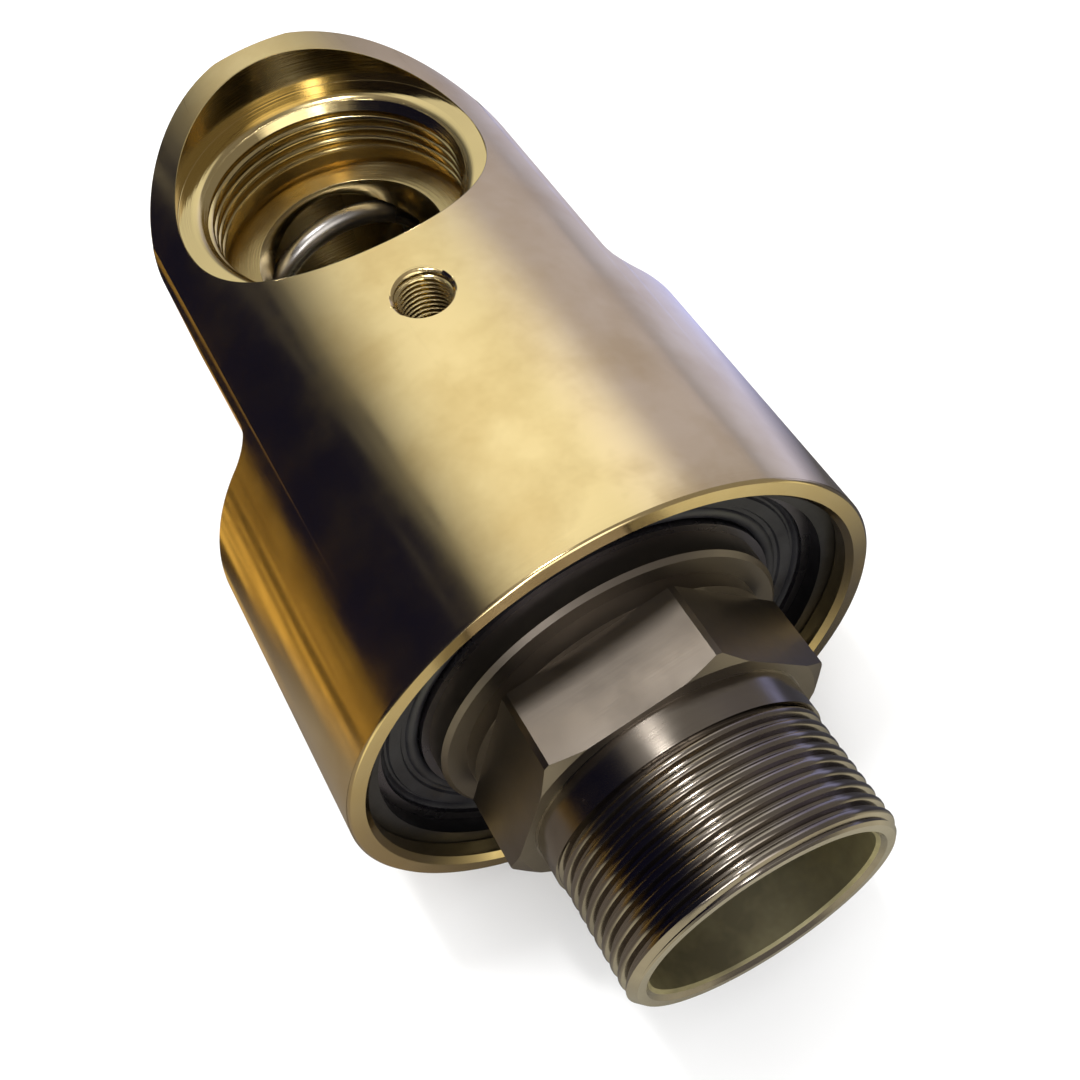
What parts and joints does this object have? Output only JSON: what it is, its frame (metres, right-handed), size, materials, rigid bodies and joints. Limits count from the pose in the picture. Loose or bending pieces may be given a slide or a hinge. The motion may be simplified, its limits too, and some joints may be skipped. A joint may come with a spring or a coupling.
{
  "type": "rotary union",
  "caption": "Rotary union: a threaded steel rotor with a wrench hexagon turns on sealed ball bearings in a polished brass housing with a threaded side port.",
  "frame": {"origin": "centre of the threaded nipple's open end, on the rotor's axis", "axes": "+Y along the rotor's axis from the nipple towards the closed head, +Z out of the side port, +X to the right when the port is up and the nipple is nearest"},
  "size_m": [0.098, 0.1724, 0.098],
  "materials": {
    "polished_brass": "polished, with fine turning marks",
    "rotor_steel": "turned and blackened steel",
    "bearing_steel": "ground and polished",
    "cage_steel": "pressed sheet, satin",
    "seal_rubber": "satin moulded rubber",
    "clip_steel": "black oxide",
    "hard_seal": "lapped hard metal",
    "seal_carbon": "lapped carbon",
    "bright_steel": "turned steel",
    "spring_steel": "drawn and polished wire"
  },
  "bodies": {
    "housing": {"housing": "polished_brass", "outer_spacer": "bright_steel", "housing_circlip": "clip_steel", "spring_seat": "bright_steel", "coil_spring": "spring_steel", "front_bearing_outer_ring": "bearing_steel", "front_bearing_front_seal": "seal_rubber", "front_bearing_rear_seal": "seal_rubber", "rear_bearing_outer_ring": "bearing_steel", "rear_bearing_front_seal": "seal_rubber", "rear_bearing_rear_seal": "seal_rubber"},
    "rotor": {"rotor": "rotor_steel", "inner_spacer": "bright_steel", "rotor_circlip": "clip_steel", "rotating_seal_ring": "hard_seal", "rotating_seal_o_ring": "seal_rubber", "front_bearing_inner_ring": "bearing_steel", "rear_bearing_inner_ring": "bearing_steel"},
    "front_cage": {"front_bearing_cage": "cage_steel", "front_bearing_balls": "bearing_steel"},
    "rear_cage": {"rear_bearing_cage": "cage_steel", "rear_bearing_balls": "bearing_steel"},
    "seal": {"seal_carrier": "bright_steel", "carbon_seal_ring": "seal_carbon", "carrier_o_ring": "seal_rubber", "carrier_keys": "bearing_steel"}
  },
  "joints": [
    {"name": "rotor_spin", "type": "hinge", "parent": "housing", "child": "rotor", "pos_m": [0, 0, 0], "axis": [0, 1, 0], "continuous": true},
    {"name": "front_cage_spin", "type": "hinge", "parent": "housing", "child": "front_cage", "pos_m": [0, 0.059, 0], "axis": [0, 1, 0], "continuous": true},
    {"name": "rear_cage_spin", "type": "hinge", "parent": "housing", "child": "rear_cage", "pos_m": [0, 0.079, 0], "axis": [0, 1, 0], "continuous": true},
    {"name": "seal_float", "type": "slide", "parent": "housing", "child": "seal", "axis": [0, 1, 0], "range_m": [0, 0.0015], "stiffness_N_per_m": 21000, "springref_m": -0.003, "deforming": ["coil_spring"]}
  ],
  "couplings": [
    {"joint": "front_cage_spin", "follows": "rotor_spin", "ratio": 0.42414},
    {"joint": "rear_cage_spin", "follows": "rotor_spin", "ratio": 0.42414}
  ]
}
